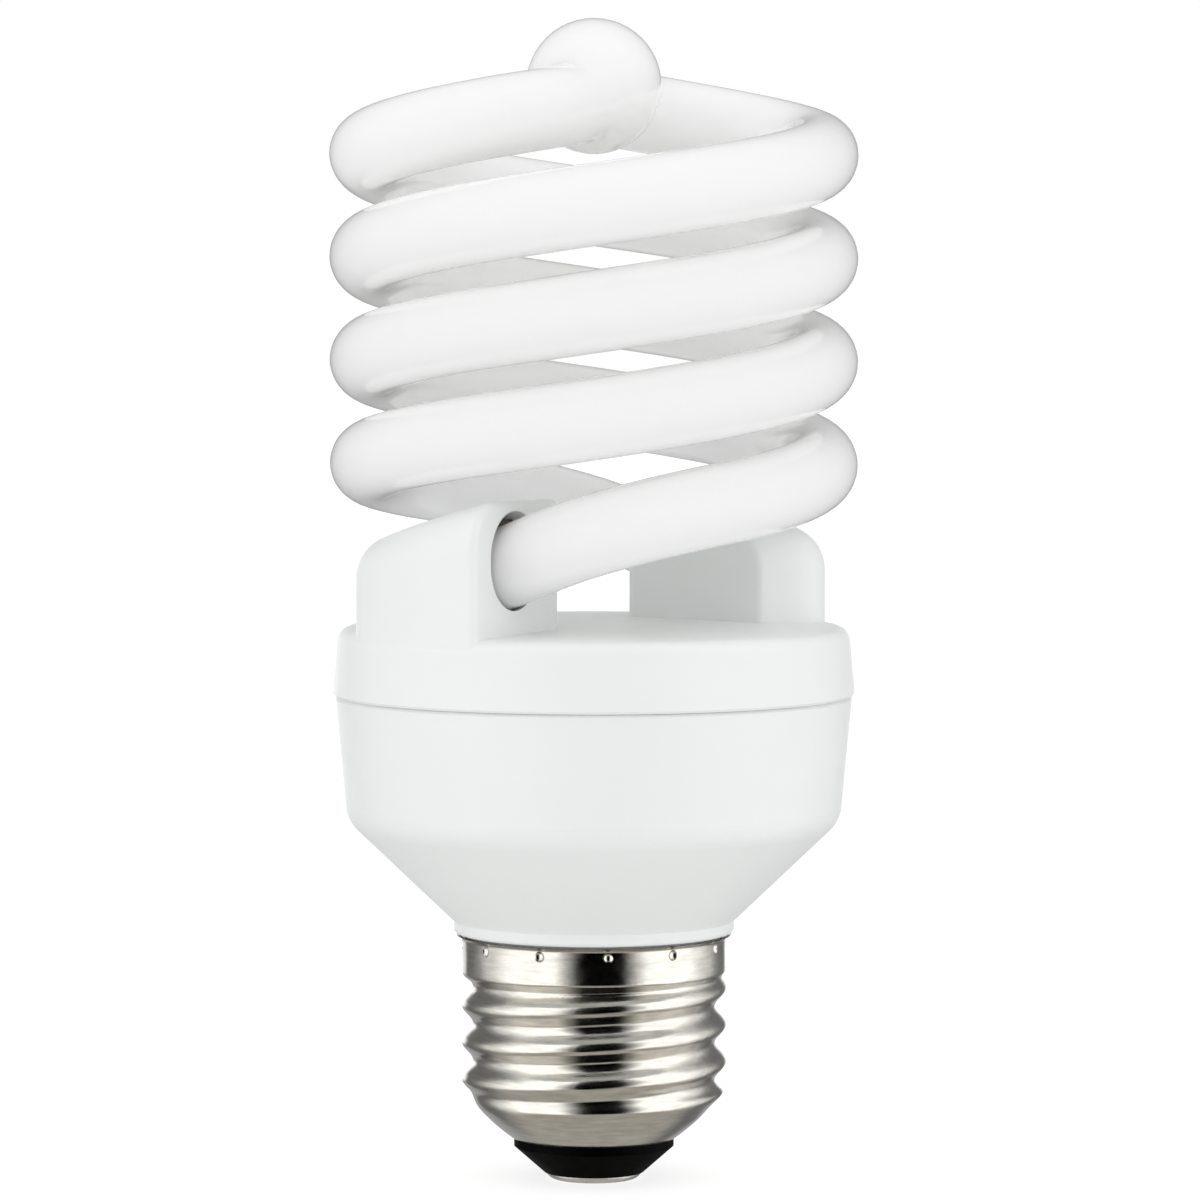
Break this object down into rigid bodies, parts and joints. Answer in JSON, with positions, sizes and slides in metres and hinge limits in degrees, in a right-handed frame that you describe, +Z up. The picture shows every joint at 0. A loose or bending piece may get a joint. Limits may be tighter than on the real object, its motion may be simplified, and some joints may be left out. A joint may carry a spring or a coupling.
{
  "type": "spiral energy saving bulb",
  "caption": "Compact fluorescent bulb: a double spiral of white-coated glass tube on a moulded ballast housing with a medium screw base.",
  "frame": {"origin": "the middle of the centre contact's flat underside, at the very bottom of the screw base", "axes": "+Z up along the bulb's axis from the screw base to the ball at the top; +X is the way the first leg of the tube leaves its hood"},
  "size_m": [0.0514, 0.0514, 0.1136],
  "materials": {
    "glass": "glossy clear glass tube with a white coating inside",
    "white_plastic": "moulded, satin white",
    "nickel": "rolled sheet, nickel plated, bright",
    "black_insulator": "moulded, black",
    "solder_tin": "pressed and tinned",
    "cement": "cast, chalky",
    "board_laminate": "pressed laminate",
    "capacitor_sleeve": "shrunk sleeve over a can",
    "ferrite": "sintered, dark grey",
    "bobbin_plastic": "moulded",
    "copper_wire": "enamelled copper",
    "black_epoxy": "moulded",
    "resistor_coat": "dipped lacquer",
    "fuse_coat": "dipped, flameproof",
    "trigger_glass": "lacquered glass bead",
    "film_dip": "dipped epoxy",
    "tinned_wire": "drawn and tinned",
    "wire_sleeve": "extruded"
  },
  "bodies": {
    "root": {"spiral_tube": "glass", "tube_holder": "white_plastic", "ballast_housing": "white_plastic", "screw_shell": "nickel", "base_insulator": "black_insulator", "centre_contact": "solder_tin", "tube_cement": "cement", "bulk_capacitor": "capacitor_sleeve", "choke_core": "ferrite", "choke_bobbin": "bobbin_plastic", "choke_winding": "copper_wire", "drive_core": "ferrite", "drive_windings": "copper_wire", "power_transistors": "black_epoxy", "rectifier_diodes": "black_epoxy", "resistors": "resistor_coat", "fuse_resistor": "fuse_coat", "trigger_diode": "trigger_glass", "resonant_capacitor": "film_dip", "coupling_capacitor": "film_dip", "line_inductor": "ferrite", "wire_posts": "tinned_wire", "cathode_leads": "tinned_wire", "contact_lead": "wire_sleeve", "shell_lead": "wire_sleeve", "circuit_board": "board_laminate"}
  },
  "joints": []
}
